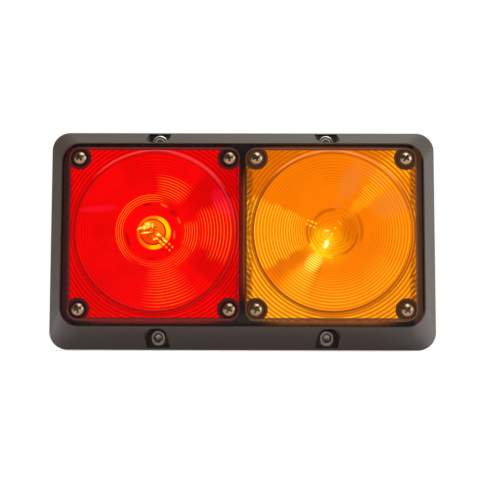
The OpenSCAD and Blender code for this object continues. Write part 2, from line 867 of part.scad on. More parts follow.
housing();
red_cell();
amber_cell();
red_lens();
amber_lens();
red_lens_gasket();
amber_lens_gasket();
red_lens_screws();
amber_lens_screws();
red_reflector();
amber_reflector();
red_bulb_glass();
amber_bulb_glass();
red_bulb_filament();
amber_bulb_filament();
red_bulb_cap();
amber_bulb_cap();
red_bulb_contacts();
amber_bulb_contacts();
red_holder_tube();
amber_holder_tube();
red_holder_base();
amber_holder_base();
red_holder_terminals();
amber_holder_terminals();
red_holder_screws();
amber_holder_screws();
mounting_screws();
mounting_washers();
cable_grommet();
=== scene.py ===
import math

import bpy
from mathutils import Matrix, Vector


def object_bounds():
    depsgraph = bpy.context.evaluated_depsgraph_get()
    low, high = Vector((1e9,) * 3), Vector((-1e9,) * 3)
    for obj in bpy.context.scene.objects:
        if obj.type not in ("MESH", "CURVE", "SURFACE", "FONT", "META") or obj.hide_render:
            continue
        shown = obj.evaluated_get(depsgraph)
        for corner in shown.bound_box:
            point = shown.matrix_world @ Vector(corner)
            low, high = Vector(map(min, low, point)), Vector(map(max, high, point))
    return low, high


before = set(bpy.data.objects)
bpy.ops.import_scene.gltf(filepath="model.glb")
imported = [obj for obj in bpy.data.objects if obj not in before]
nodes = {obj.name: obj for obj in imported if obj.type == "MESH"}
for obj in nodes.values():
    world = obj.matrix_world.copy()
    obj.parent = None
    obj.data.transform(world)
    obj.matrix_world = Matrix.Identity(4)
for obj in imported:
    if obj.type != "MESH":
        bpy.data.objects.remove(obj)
cad_low, cad_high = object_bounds()

# Places on the lamp in millimetres, for the marks in the materials. Pairs say how
# far something lies from the middle of a lens or of the lamp, across and upwards.
half_pitch = 47.8
lens_x = {"red": -half_pitch, "amber": half_pitch}
lens_half = (46.5, 47.0)
lens_screw = (40.5, 41.0)
opening_half = (98.5, 49.7)
rim_y, channel_y = -46.0, -41.0
mounting_screw_z = 56.0

# Camera: a long lens a little below the middle of the lamp, tilted up at it, so
# that the upper slopes show narrow and the lower slopes wide.
picture_px, focal_px = 485, 1075.6
camera_place = Vector((2.13, -627.46, -57.45)) / 1000
yaw, pitch, roll = (math.radians(a) for a in (-0.21, 5.21, 0.15))
forward = Vector((math.sin(yaw) * math.cos(pitch), math.cos(yaw) * math.cos(pitch),
                  math.sin(pitch)))
right = Vector((math.cos(yaw), -math.sin(yaw), 0))
up = right.cross(forward)
turned_right = right * math.cos(roll) + up * math.sin(roll)
turned_up = up * math.cos(roll) - right * math.sin(roll)
camera = bpy.data.objects.new("camera", bpy.data.cameras.new("camera"))
bpy.context.scene.collection.objects.link(camera)
camera.data.sensor_width = 36
camera.data.lens = camera.data.sensor_width * focal_px / picture_px
camera.data.clip_start, camera.data.clip_end = 0.01, 100
camera.matrix_world = Matrix.Translation(camera_place) @ Matrix(
    (turned_right, turned_up, -forward)).transposed().to_4x4()
bpy.context.scene.camera = camera


class Wire:
    """A socket of a node tree. Sums on it add Math nodes, and node() adds any other node."""

    def __init__(self, tree, end=None):
        self.tree, self.end = tree, end

    def node(self, kind, settings=(), inputs=(), out=0):
        made = self.tree.nodes.new("ShaderNode" + kind)
        for name, value in dict(settings).items():
            setattr(made, name, value)
        for name, value in dict(inputs).items():
            if isinstance(value, Wire):
                self.tree.links.new(value.end, made.inputs[name])
            else:
                made.inputs[name].default_value = value
        return Wire(self.tree, made.outputs[out])

    def into(self, output):
        """Ends the tree in its output node."""
        made = self.tree.nodes.new("ShaderNode" + output)
        self.tree.links.new(self.end, made.inputs["Surface"])

    def math(self, operation, *values):
        return self.node("Math", {"operation": operation}, enumerate(values))

    def __add__(self, other): return self.math("ADD", self, other)
    def __radd__(self, other): return self.math("ADD", other, self)
    def __sub__(self, other): return self.math("SUBTRACT", self, other)
    def __rsub__(self, other): return self.math("SUBTRACT", other, self)
    def __mul__(self, other): return self.math("MULTIPLY", self, other)
    def __rmul__(self, other): return self.math("MULTIPLY", other, self)
    def __truediv__(self, other): return self.math("DIVIDE", self, other)
    def __pow__(self, other): return self.math("POWER", self, other)
    def __abs__(self): return self.math("ABSOLUTE", self)

    def capped(self):
        """This value, and 1 where it is more."""
        return self.math("MINIMUM", 1.0, self)

    def rise(self, low, high):
        """0 below low, 1 above high, smooth between; turned round where low is above high."""
        return self.node("MapRange", {"interpolation_type": "SMOOTHSTEP"},
                         {"Value": self, "From Min": low, "From Max": high})

    def near(self, middle, half, soft):
        """1 within half of middle, and 0 from soft further out."""
        return abs(self - middle).rise(half + soft, half)

    def mix(self, low, high):
        """A colour between low and high, by this value."""
        return self.node("Mix", {"data_type": "RGBA"},
                         {0: self, 6: (*low, 1) if isinstance(low, tuple) else low,
                          7: (*high, 1) if isinstance(high, tuple) else high}, out=2)

    def parts(self):
        """The three numbers of a vector."""
        split = self.tree.nodes.new("ShaderNodeSeparateXYZ")
        self.tree.links.new(self.end, split.inputs[0])
        return [Wire(self.tree, socket) for socket in split.outputs]


def most(first, *others):
    """The largest of some values."""
    for other in others:
        first = first.math("MAXIMUM", first, other)
    return first


def length(a, b):
    """The distance that two lengths at right angles span."""
    return (a * a + b * b) ** 0.5


def angle_of(u, v):
    """The direction of a place from the middle, in degrees."""
    return u.math("ARCTAN2", v, u) * (180 / math.pi)


def away(angle, middle):
    """How many degrees an angle lies from another, either way round."""
    return abs(angle.math("WRAP", angle - middle, 180, -180))


def oval(u, v, at, radii, turn):
    """Squared distance from a place, as a share of an ellipse turned by some degrees."""
    c, s = math.cos(math.radians(turn)), math.sin(math.radians(turn))
    a = ((u - at[0]) * c + (v - at[1]) * s) / radii[0]
    b = ((v - at[1]) * c - (u - at[0]) * s) / radii[1]
    return a * a + b * b


def noise(point, scale, detail, **more):
    """A soft cloud pattern from 0 to 1."""
    return point.node("TexNoise", (), {"Vector": point, "Scale": scale, "Detail": detail, **more})


def stretched(point, scale):
    """The point with its axes scaled, which draws a pattern out into streaks."""
    return point.node("VectorMath", {"operation": "MULTIPLY"}, {0: point, 1: scale})


def bump(height, strength, distance=0.0001):
    """A normal that shows this height as relief, its distance in metres."""
    return height.node("Bump", (), {"Height": height, "Strength": strength, "Distance": distance})


def ray(start, kind):
    """1 for rays of one kind, else 0."""
    return start.node("LightPath", out={"camera": 0, "glossy": 3, "through": 6}[kind])


# Studio: white all round for the eye and through clear pieces; for gloss, a room
# that is darker on the left and towards the right corners; and an even grey that
# lights the lamp, so that colours come out as written.
world = bpy.data.worlds.new("studio")
bpy.context.scene.world = world
world.use_nodes = True
world.node_tree.nodes.clear()
air = Wire(world.node_tree)
to_right, to_back, to_top = air.node("TexCoord", out=0).parts()
seen = most(ray(air, "camera"), ray(air, "through"))
lit = to_top.rise(-1, 1).mix((0.42, 0.41, 0.40), (0.62, 0.63, 0.65))
room = to_right.rise(-0.7, 0.45).mix((0.28, 0.225, 0.185), (0.97, 0.88, 0.79))
above = to_right.rise(0.0, 0.14) * to_top.rise(0.30, 0.45)
corner = to_right.rise(0.12, 0.28) * abs(to_top).rise(0.12, 0.28)
room = corner.mix(above.mix(room, (1.25, 1.18, 1.10)), (0.50, 0.46, 0.42))
mirrored = to_back.rise(-0.35, 0.25).mix((0.06, 0.06, 0.06), room)
sky = seen.mix(ray(air, "glossy").mix(lit, mirrored), (1.0, 1.0, 1.0))
air.node("Background", (), {"Color": sky, "Strength": 1.0}).into("OutputWorld")


def softbox(name, place, size, watts):
    """A square lamp of that size in metres, aimed at the middle of the part."""
    lamp = bpy.data.objects.new(name, bpy.data.lights.new(name, "AREA"))
    bpy.context.scene.collection.objects.link(lamp)
    lamp.data.size, lamp.data.energy = size, watts
    lamp.location = place
    lamp.rotation_euler = (-Vector(place)).to_track_quat("-Z", "Y").to_euler()


softbox("softbox_above", (0.25, -0.35, 1.0), 0.7, 7)
softbox("softbox_right", (1.0, -0.25, 0.25), 0.5, 4)


def finish(name):
    """An empty material, its tree's Wire, and its surface point in millimetres."""
    made = bpy.data.materials.new(name)
    made.use_nodes = True
    made.node_tree.nodes.clear()
    start = Wire(made.node_tree)
    point = start.node("VectorMath", {"operation": "SCALE"},
                       {0: start.node("TexCoord", out=3), "Scale": 1000.0})
    return made, start, point


def surface(start, **sockets):
    """Ends a material in a Principled shader with these socket values."""
    start.node("BsdfPrincipled", (), {name.replace("_", " ").title().replace("Ior", "IOR"): value
                                      for name, value in sockets.items()}).into("OutputMaterial")


def dress(material, *names):
    """Puts one material on these CAD nodes."""
    for name in names:
        nodes[name].data.materials.clear()
        nodes[name].data.materials.append(material)


# Floor: a plain pale sheet under the lamp, which keeps its shadow and runs out
# into the white of the studio.
floor_gap = 0.0003
bpy.ops.object.select_all(action="DESELECT")
bpy.ops.mesh.primitive_plane_add(size=40, location=(0, 0, cad_low.z - floor_gap))
floor = bpy.context.object
floor.name = "floor"
pale, start, point = finish("pale_floor")
seen = most(ray(start, "camera"), ray(start, "through"))
mirrored = ray(start, "glossy").mix((0.0, 0.0, 0.0), (0.38, 0.30, 0.27))
surface(start, base_color=noise(point, 0.05, 3.0).mix((0.80, 0.80, 0.80), (0.84, 0.84, 0.84)),
        roughness=0.9, specular_ior_level=0.0,
        emission_color=seen.mix(mirrored, (0.50, 0.50, 0.50)), emission_strength=1.0)
floor.data.materials.append(pale)


# Housing and cells: black mouldings, the housing with sloped sides and the cells
# as two open boxes behind it, injection moulded with a fine satin grain. The floors
# of the screw pockets are paler, partly a little dust and partly painted light in
# their shade.
plastic, start, point = finish("moulded_black")
x, y, z = point.parts()
side_x = abs(abs(x) - half_pitch)
cloud = noise(point, 0.06, 4.0, Roughness=0.6)
grain = noise(point, 4.5, 3.0, Roughness=0.7)
scuff = noise(stretched(point, (0.25, 0.25, 2.2)), 0.5, 5.0, Roughness=0.7)
clean = cloud.mix((0.030, 0.022, 0.017), (0.045, 0.034, 0.027))
wear_and_highlight = scuff.rise(0.60, 0.8) * 0.45
# How far a place lies under the slope, as the floors of the screw pockets do
slope_run = 0.35
below = opening_half[1] + (y - rim_y) * slope_run - abs(z)
# Paler pocket floors: a little dust, and painted light where the pockets lie in shade
dust_and_fill_light = (abs(z).rise(49.0, 51.0) * below.rise(0.8, 2.5) * (1 - side_x.rise(8.0, 9.5))
        * cloud.rise(0.2, 0.7))
black = (dust_and_fill_light * 0.6).mix(wear_and_highlight.mix(clean, (0.090, 0.078, 0.066)), (0.34, 0.29, 0.24))
# Light from the sides of the lenses on the channel round them, duller at its ends
spill_reach = 5.0
past_opening = most(abs(x) - opening_half[0], abs(z) - opening_half[1])
channel = y.rise(channel_y + 0.8, channel_y + 0.2) * (1 - past_opening.rise(-0.5, 0))
gap = most(side_x - lens_half[0], abs(z) - lens_half[1], 0.0)
to_amber = x.rise(-0.6, 0.6)
spill = ((gap / spill_reach).rise(1.0, 0.0) ** (8 - 5 * to_amber) * channel
         * start.math("MINIMUM", side_x, abs(z)).rise(40, 22))
glow = spill.mix((0.0, 0.0, 0.0), to_amber.mix((0.20, 0.001, 0.002), (0.24, 0.050, 0.003)))
ends = channel * abs(x).rise(93.0, 94.5) * 0.5
glow = ends.mix(glow, to_amber.mix((0.040, 0.001, 0.001), (0.088, 0.032, 0.010)))
# Marks of the ejector pins, a fine step round each on the back of the cells
pin_at = (28.0, 30.0)
pins = length(side_x - pin_at[0], abs(z) - pin_at[1]).rise(3.2, 2.9) * y.rise(-3.0, -1.5)
surface(start, base_color=(channel * 0.6).mix(black, (0.004, 0.003, 0.003)),
        roughness=0.42 + cloud * 0.10 + grain * 0.08,
        emission_color=glow, emission_strength=1.0,
        normal=bump(grain + pins * 3, 0.25, 0.00006))
dress(plastic, "housing", "red_cell", "amber_cell")


# Lenses: two deep square caps of clear red and clear amber acrylic, injection
# moulded. A raised round field has fine rings inside it, the corners have coarse
# ones, and the glow that the lamp behind gives them is painted on, with painted
# glints, shade and reflections. Round the bulb there is a plain window.
field_at = {"red": (0.9, 1.1), "amber": (1.2, 1.1)}
field_r, window_r = 43.3, 16.0
# Rings: the pitch of the coarse ones, how the fine ones widen outwards, and where
# in each ring, as a share of its width, the bright crest and the dark line lie
coarse_pitch, fine_start, fine_growth = 2.0, 27.5, 0.026
crest_at, line_at = 0.42, 0.86
# Pitches of the saw-tooth ends and of the filament images, and the corner radius
saw_pitch, bead_pitch, corner_r = 3.1, 2.3, 6.0
tones = {
    "red": dict(
        # Light in the rings, from the dark lines between them to the hottest arcs
        deep=(0.30, 0.0, 0.0), plain=(0.92, 0.001, 0.001), bright=(1.0, 0.075, 0.0),
        hot=(1.0, 0.24, 0.01),
        # The acrylic's own colour, what comes through it, and its black screw columns
        base=(0.22, 0.0, 0.0), filter=(1.0, 0.72, 0.45), black=(0.016, 0.002, 0.002),
        # A painted pale reflection of the room, and two lines round each screw column,
        # the inner one a painted shadow of the screw head
        sheen=(0.90, 0.01, 0.06), gleam=0.38, trim=(0.10, 0.022, 0.024),
        screw_shadow=(0.07, 0.0, 0.002),
        # Shoulder of the field: its painted highlight line, its painted shade line, and how clear
        # it is
        rim=(1.0, 0.05, 0.06), shade_line=(0.22, 0.0, 0.0), gap=0.35,
        # Rings in the window, light between the crests, their width, and their shift
        inner=0.0, between=0.04, crest=(0.01, 0.15), drift=(-1.35, -0.3),
        # Saw-tooth ends of the rings, and how far the frame is drawn to a side
        saw=0.8, saw_color=(0.09, 0.0, 0.003), teeth=(45.0, 46.6), calm=0.65, aside=0.4),
    "amber": dict(
        deep=(0.40, 0.070, 0.0), plain=(0.94, 0.195, 0.0), bright=(1.0, 0.36, 0.0),
        hot=(1.0, 0.66, 0.03),
        base=(0.24, 0.05, 0.0), filter=(1.0, 0.86, 0.50), black=(0.024, 0.010, 0.004),
        sheen=(0.70, 0.20, 0.03), gleam=0.55, trim=(0.11, 0.055, 0.028),
        screw_shadow=(0.22, 0.050, 0.004),
        rim=(1.0, 0.30, 0.06), shade_line=(0.15, 0.030, 0.0), gap=0.25,
        inner=0.6, between=0.30, crest=(0.03, 0.18), drift=(0.0, 0.0),
        saw=1.0, saw_color=(0.07, 0.018, 0.002), teeth=(42.8, 44.6), calm=0.4, aside=0.0),
}


def lens_finish(side):
    """The lit acrylic of one lens, built up from the rings to the black columns."""
    tone = tones[side]
    made, start, point = finish(side + "_acrylic")
    x, y, z = point.parts()
    lens_u, lens_v = x - lens_x[side], z
    u, v = lens_u - field_at[side][0], lens_v - field_at[side][1]
    r, angle = length(u, v), angle_of(u, v)

    def sector(middle, half, soft):
        """1 in a sector of the rings about an angle, fading out over soft degrees."""
        return away(angle, middle).rise(half + soft, half)

    def patch(at, radii, turn=0, soft=0.5):
        """1 in an ellipse about a place, its long axis turned by some degrees."""
        return oval(u, v, at, radii, turn).rise(1 + soft, 1 - soft)

    shade = noise(point, 0.07, 3.0).rise(0.35, 0.65)
    ragged = noise(point, 0.22, 3.0)
    inside = r.rise(field_r + 0.2, field_r - 0.2)
    outside = 1 - inside

    # Fine rings get wider outwards; the coarse rings keep one pitch
    drawn_in = r.rise(field_r, window_r)
    ring_r = length(u - drawn_in * tone["drift"][0], v - drawn_in * tone["drift"][1])
    fine = start.math("LOGARITHM", ring_r + fine_start, math.e) / fine_growth
    ring = start.node("Mix", (), {0: inside, 2: r / coarse_pitch, 3: fine})
    phase, number = start.math("FRACT", ring), start.math("FLOOR", ring)
    ringed = most(ring_r.rise(window_r + 0.2, window_r + 0.5), tone["inner"])
    line = phase.near(line_at, 0.04, 0.20) * ringed * (0.62 + 0.38 * outside)
    crest = phase.near(crest_at, *tone["crest"]) * ringed
    # Each ring ends its bright arcs at an angle of its own, and they come and go
    chance = start.node("TexWhiteNoise", {"noise_dimensions": "1D"}, {"W": number}, out=0)
    shifted = angle + (chance - 0.5) * 3
    streaks = noise(start.node("CombineXYZ", (), {0: number * 7.3, 1: angle / 14, 2: 0.0}),
                    1.0, 2.0).rise(0.34, 0.52)

    def arcs(middle, half, soft):
        """As sector, with its edges torn from ring to ring."""
        return away(shifted, middle).rise(half + soft, half)

    # glint is the painted light where the rings shine, dull the painted shade where they
    # are dark, sheen a painted reflection of the room, marks the dark arcs in the window,
    # and the bright arcs there are painted highlights; the eye is where the bulb shows,
    # and the beads are a row of painted images of the filament
    if side == "red":
        glint = most(arcs(68, 8, 16) * r.near(24.5, 3, 5) * 0.95,
                     arcs(-7, 15, 10) * r.near(19.5, 3.0, 2),
                     arcs(2, 12, 15) * r.near(34, 6, 6) * 0.85,
                     arcs(-78, 4, 22) * r.near(30, 8, 8) * 0.80,
                     arcs(-45, 12, 8) * r.near(19.5, 2, 2) * 0.6,
                     sector(150, 45, 45) * ring_r.near(18.0, 1.7, 1.2) * 1.6,
                     arcs(-16, 5, 8) * r.near(37, 4, 4) * 0.6,
                     sector(-110, 50, 30) * r.near(17.5, 1.6, 0.6) * 0.6)
        dull = most(sector(36, 9, 8), sector(-32, 8, 7) * 0.75, sector(172, 8, 18) * 0.35,
                    sector(-140, 16, 24) * 0.30, sector(105, 8, 14) * 0.30) * r.rise(17, 30)
        sheen = most(patch((-31, 12.0), (10, 1.6), 4), patch((36, 15), (4.5, 8.5), 30) * 0.9)
        marks = most(patch((-4.5, 14.3), (2.3, 0.6), 4),
                     patch((-14.8, -4.4), (0.9, 4.4), 17, 0.9) * 0.7,
                     patch((-2.3, -15.0), (2.4, 0.7)) * 0.5,
                     patch((9.7, 9.9), (2.6, 1.4), -40) * 0.5)
        window_glints = most(patch((4.6, 13.8), (1.9, 0.6), -25, 0.9),
                      patch((12.7, 5.7), (0.6, 1.7), 20, 0.9),
                      patch((10.2, -2.1), (0.5, 2.2), 0, 0.9)) * 0.45
        eye_at, eye_r, eye_clear = (-1.0, -0.6), 9.25, 0.94
        beads_turn, beads_from, beads_to, beads_aside = -43, 2.0, 14.5, -1.1
    else:
        glint = most(arcs(182, 24, 5) * r.rise(9, 26) * 0.95,
                     arcs(46, 5, 7) * r.rise(8, 20) * 0.75,
                     arcs(-137, 24, 16) * outside,
                     arcs(38, 4, 6) * r.near(52, 2, 1.5),
                     arcs(-75, 40, 30) * 0.60 * r.rise(18, 40),
                     arcs(5, 40, 25) * 0.40 * r.rise(20, 38))
        dull = most(sector(-147, 4, 10) * r.near(28, 8, 10) * 0.8,
                    sector(-116, 5, 6) * r.near(28, 7, 5) * 0.6,
                    sector(-35, 20, 20) * 0.12,
                    sector(115, 38, 8) * 0.20 * r.rise(14, 30),
                    sector(140, 24, 10) * outside,
                    sector(45, 26, 10) * outside * 0.9,
                    sector(-40, 24, 10) * outside * 0.5,
                    sector(-138, 40, 16) * r.near(46.4, 1.6, 1.2) * 0.7)
        sheen = most(patch((9, 27), (5, 10), -25, 1.0), patch((31, 15), (10, 6), 15, 1.0),
                     patch((20, 32), (12, 2.5), -38, 1.0) * 0.7,
                     patch((1.8, 13.8), (2.6, 0.7), -8) * 1.6)
        marks = most(r.near(11.8, 0.45, 0.6) * sector(118, 26, 12) * 0.75,
                     r.near(15.3, 0.5, 0.9) * sector(8, 16, 26) * 0.7,
                     r.near(13.0, 0.35, 0.7) * sector(-35, 26, 10) * 0.8,
                     r.near(14.4, 0.35, 0.5) * sector(186, 18, 6) * 0.8,
                     r.near(12.4, 0.2, 0.4) * sector(180, 12, 4) * 0.7,
                     patch((8.8, 1.0), (4.8, 6.4), 0, 0.9) * (0.38 + 0.3 * line))
        window_glints = patch((-6.0, -11.5), (2.8, 1.2), -35) * 0.6
        eye_at, eye_r, eye_clear = (-2.3, -2.2), 8.5, 0.25
        beads_turn, beads_from, beads_to, beads_aside = 157, 9.5, 16.0, 0.9
    shaded = line * (0.55 + 0.35 * outside) + dull * 0.40 + shade * 0.12 + outside * 0.10
    lit = shaded.capped().mix(tone["plain"], tone["deep"])
    lit = (glint * (tone["between"] + crest)).capped().mix(lit, tone["bright"])
    lit = (glint * crest * (0.6 + 0.4 * streaks)).capped().mix(lit, tone["hot"])
    lit = (sheen * tone["gleam"]).mix(lit, tone["sheen"])
    # Painted highlights of the bright arcs in the window
    lit = window_glints.mix(lit, tone["hot"])

    if side == "amber":
        # The filament shows as one hot spot with a beam towards a lower corner
        hot_u, hot_v = u + 3.8, v + 6.6
        hot_r = length(hot_u, hot_v)
        beam = (away(angle_of(hot_u, hot_v), -125).rise(21, 5) * hot_r.rise(46, 8)
                * (1 - 0.5 * line))
        lit = (hot_r.rise(20, 2) ** 2).mix(lit, (1.0, 0.48, 0.0))
        lit = (beam * (0.35 + 0.65 * phase.near(crest_at, 0.08, 0.25))
               ).mix(lit, (1.0, 0.68, 0.02))
        lit = (patch((-10.6, -16.4), (5.4, 3.6), 52, 0.9) * phase.near(crest_at, 0.15, 0.25)
               ).mix(lit, (1.15, 0.98, 0.12))
        lit = most(hot_r.rise(7.5, 1.0) ** 2,
                   patch((-5.4, -5.2), (5.0, 6.4), 25, 1.0) * 0.75,
                   patch((-5.8, -9.5), (2.4, 4.4), -35, 0.9) * 0.75).mix(lit, (1.1, 0.80, 0.01))
        # Uneven rings cross the window, then small images of the filament
        uneven = start.math("FRACT", (r + ragged * 4.5) / 2.0).near(0.5, 0.05, 0.24)
        lit = (uneven * r.near(9.5, 3.5, 1.5) * (0.30 + 0.40 * shade)).mix(lit, (0.52, 0.11, 0.0))
        lit = most(patch((0.9, 1.8), (0.7, 0.4), -30), patch((-0.8, -1.4), (0.6, 0.6)),
                   patch((-1.9, -3.6), (0.5, 1.7), -40) * 0.6,
                   patch((3.4, 4.6), (1.6, 0.4), -50) * 0.4).mix(lit, (1.25, 0.85, 0.03))
        lit = most(patch((-3.9, -6.9), (1.1, 2.3), -18, 0.8),
                   patch((-3.6, 0.4), (1.3, 0.35)) * 0.8).mix(lit, (1.5, 1.35, 0.72))
        lit = (r.near(13.8, 0.7, 0.6) * sector(-125, 24, 14) * 0.8).mix(lit, (1.05, 0.74, 0.0))
        lit = (line * r.rise(17, 14) * 0.95).mix(lit, (0.42, 0.085, 0.0))

    # Shoulder of the raised field: a painted shade line, doubled and darker below,
    # and a painted highlight line above
    shoulder = r.near(field_r + 0.1, 0.30, 0.40)
    drawn_r = length(u + 0.4, v + 0.2)
    shoulder_shade = most(drawn_r.near(field_r - 0.5, 0.25, 0.35) * (0.75 + 0.25 * sector(-130, 90, 50)),
                drawn_r.near(field_r + 0.7, 0.15, 0.40) * sector(190, 60, 40) * 0.7,
                drawn_r.near(field_r + 1.2, 0.15, 0.45) * sector(-30, 55, 40) * 0.8,
                drawn_r.near(field_r - 0.4, 0.35, 0.35) * sector(-125, 70, 40) * 0.9)
    lit = shoulder_shade.mix(lit, tone["shade_line"])
    lit = (drawn_r.near(field_r + 1.0, 0.25, 0.40) * sector(85, 38, 20)).mix(lit, tone["rim"])
    if side == "red":
        # A faint painted reflection just inside the shoulder at the upper right
        lit = (r.near(field_r - 0.6, 0.1, 0.30) * sector(38, 28, 20) * 0.55
               ).mix(lit, (0.50, 0.06, 0.09))

    # Saw-tooth ends of the rings along the upright edges of the lens
    slant = abs(lens_v) + abs(lens_u) * 0.8 + ragged * 5
    teeth = start.math("FRACT", slant / saw_pitch).near(0.5, 0.15, 0.3)
    reach = ((abs(lens_u) + ragged * 2.4).rise(*tone["teeth"])
             * r.rise(field_r + 0.3, field_r + 1.2)
             * (1 - tone["calm"] * abs(lens_v).rise(24, 12)))
    lit = (reach * (0.35 + 0.65 * teeth) * tone["saw"]).mix(lit, tone["saw_color"])

    # A ladder of broken images of the filament across the window
    c, s = math.cos(math.radians(beads_turn)), math.sin(math.radians(beads_turn))
    along, across = u * c + v * s, abs(v * c - u * s - beads_aside)
    step = start.math("FRACT", along / bead_pitch)
    ladder = along.rise(beads_from, beads_from + 1) * along.rise(beads_to, beads_to - 1.5)
    beads = ladder * step.near(0.5, 0.16, 0.16) * across.near(1.15, 0.40, 0.35)
    rungs = (ladder * across.rise(2.5, 2.3)
             * most(step.near(0.5, 0.5, 0.0) - step.near(0.5, 0.34, 0.12),
                    across.near(0.1, 0.12, 0.25), across.near(2.1, 0.1, 0.25) * 0.7))
    eye = length(u - eye_at[0], v - eye_at[1]).rise(eye_r + 0.4, eye_r - 0.3)
    clear_share = most(eye * eye_clear * (1 - 0.85 * most(beads, rungs)) * (1 - 0.7 * marks),
                       shoulder * tone["gap"])
    lit = most(marks, rungs * 0.7).mix(lit, tone["deep"])
    lit = beads.mix(lit, (eye * along.rise(12, 8)).mix(tone["hot"], (1.3, 0.85, 0.02)))

    # Corner columns and the rim band show the black cell behind
    past_u, past_v = abs(lens_u) - lens_screw[0], abs(lens_v) - lens_screw[1]
    from_screw = length(past_u, past_v)
    from_edge = corner_r - length(most(past_u, 0.0), most(past_v, 0.0))
    column = most(from_screw.rise(6.6, 6.1), past_u.rise(-0.5, 0.5) * past_v.rise(-0.5, 0.5))
    rim = most(abs(lens_u - tone["aside"]).rise(lens_half[0] - 1.2, lens_half[0] - 0.8),
               abs(lens_v).rise(lens_half[1] - 1.9, lens_half[1] - 1.4))
    front = y.rise(-47.0, -50.0)
    black = most(most(column, rim * 0.85) * front, y.rise(-49.0, -45.0) * 0.45)
    lit = black.mix(lit, tone["black"])
    lit = (from_screw.near(5.5, 0.25, 0.35) * front * 0.55).mix(lit, tone["trim"])
    # A painted shadow round each screw head
    lit = (from_screw.near(3.9, 0.10, 0.50) * front * 0.6).mix(lit, tone["screw_shadow"])
    lit = (from_edge.near(0.95, 0.10, 0.28) * front * (0.35 + 0.5 * rim)).mix(lit, tone["trim"])
    shader = start.node("BsdfPrincipled", (), {
        "Base Color": black.mix(tone["base"], (0.012, 0.006, 0.005)),
        "Roughness": 0.10 + shoulder * 0.6, "IOR": 1.49, "Specular IOR Level": 0.2,
        "Emission Color": lit, "Emission Strength": 0.88,
        "Normal": bump(phase * ringed, 0.2)})
    clear = start.node("BsdfTransparent", (), {"Color": (*tone["filter"], 1)})
    start.node("MixShader", (), {0: clear_share, 1: shader, 2: clear}).into("OutputMaterial")
    return made


for side in lens_x:
    dress(lens_finish(side), side + "_lens")


# Gaskets and grommet: soft black rubber, moulded, with a dull bloom. The gaskets
# lie under the lenses, and the grommet sits in the back of the red cell.
rubber, start, point = finish("black_rubber")
bloom = noise(point, 0.4, 4.0)
surface(start, base_color=bloom.mix((0.010, 0.010, 0.010), (0.030, 0.029, 0.028)),
        roughness=0.70 + bloom * 0.2, specular_ior_level=0.3, normal=bump(bloom, 0.2))
dress(rubber, "red_lens_gasket", "amber_lens_gasket", "cable_grommet")


# Lens and holder screws: pan-head steel screws with a cross recess, nickel plated
# and warm in tint, with stains and grime, and the recess darkened as painted shade.
nickel, start, point = finish("nickel_plate")
x, y, z = point.parts()
stain = noise(point, 0.7, 5.0, Roughness=0.65)
# The cross recess is darkened as painted shade, on top of stains and grime
recess = y.rise(-51.6, -51.0)
grime_and_shade = most(stain.rise(0.50, 0.72) * 0.5, recess * 0.8)
surface(start, base_color=grime_and_shade.mix((0.33, 0.245, 0.155), (0.05, 0.035, 0.018)),
        metallic=1.0, roughness=0.24 + stain * 0.22, normal=bump(stain, 0.2))
dress(nickel, "red_lens_screws", "amber_lens_screws", "red_holder_screws", "amber_holder_screws")


# Mounting screws and washers: hexagon socket cap screws, zinc plated steel that
# has dulled. The upper heads have two painted highlight rings and a painted shade
# ring, the lower ones a painted highlight on the socket floor and painted shade on
# its walls, and the studs have a rolled thread.
zinc, start, point = finish("dull_zinc")
x, y, z = point.parts()
screw_u, screw_v = abs(x) - half_pitch, abs(z) - mounting_screw_z
thread_pitch = 0.8
turns = y / thread_pitch + angle_of(screw_u, screw_v) / 360
thread = start.math("PINGPONG", turns, 0.5) * y.rise(0.2, 0.8)
stain = noise(point, 0.8, 5.0, Roughness=0.7)
from_axis = length(screw_u, screw_v)
upper = z.rise(-1, 1)
head = y.rise(-9.0, -10.0)
# Painted highlights: two bright rings on the upper heads, the socket floor on the lower ones
wear_and_highlight = (most(from_axis.near(4.0, 0.25, 0.3), from_axis.near(2.5, 0.2, 0.3)) * upper
        + from_axis.rise(1.9, 1.5) * (1 - upper))
# Painted shade: a dark ring on the upper heads, the socket walls on the lower ones
socket_shade = from_axis.near(2.3, 0.35, 0.3) * (1 - upper) + from_axis.near(3.2, 0.25, 0.4) * upper
tint = stain.rise(0.35, 0.7).mix((0.50, 0.46, 0.41), (0.26, 0.23, 0.20))
tint = (socket_shade * head * 0.85).mix(tint, (0.04, 0.035, 0.03))
surface(start, base_color=(wear_and_highlight * head).mix(tint, (0.95, 0.92, 0.84)),
        metallic=1.0, roughness=0.34 + stain * 0.2, normal=bump(stain + thread * 4, 0.4))
dress(zinc, "mounting_screws", "mounting_washers")


# Reflectors: a parabolic bowl in a square flange, moulded and vacuum metallised.
# Their metal is painted in the colour of the lens in front, and the bulb's light on
# them is a painted glow.
bulb_at = {"red": (-49.2, 1.9), "amber": (half_pitch, 0.0)}
# Painted light on each reflector: metal tinted as its lens, and a painted glow, brighter near the
# bulb
reflected = {
    "red": dict(metal=((0.50, 0.012, 0.006), (0.38, 0.008, 0.004)),
                near=(0.62, 0.002, 0.0), far=(0.40, 0.0, 0.0)),
    "amber": dict(metal=((0.85, 0.42, 0.08), (0.68, 0.30, 0.05)),
                  near=(0.80, 0.26, 0.01), far=(0.60, 0.16, 0.0)),
}
for side in lens_x:
    bright, start, point = finish(side + "_reflector_metal")
    x, y, z = point.parts()
    r = length(x - bulb_at[side][0], z - bulb_at[side][1])
    haze = noise(point, 0.15, 4.0)
    colours = reflected[side]
    surface(start, base_color=haze.mix(*colours["metal"]),
            metallic=1.0, roughness=0.20 + haze * 0.15,
            emission_color=r.rise(11, 28).mix(colours["near"], colours["far"]),
            emission_strength=1.0)
    dress(bright, side + "_reflector")


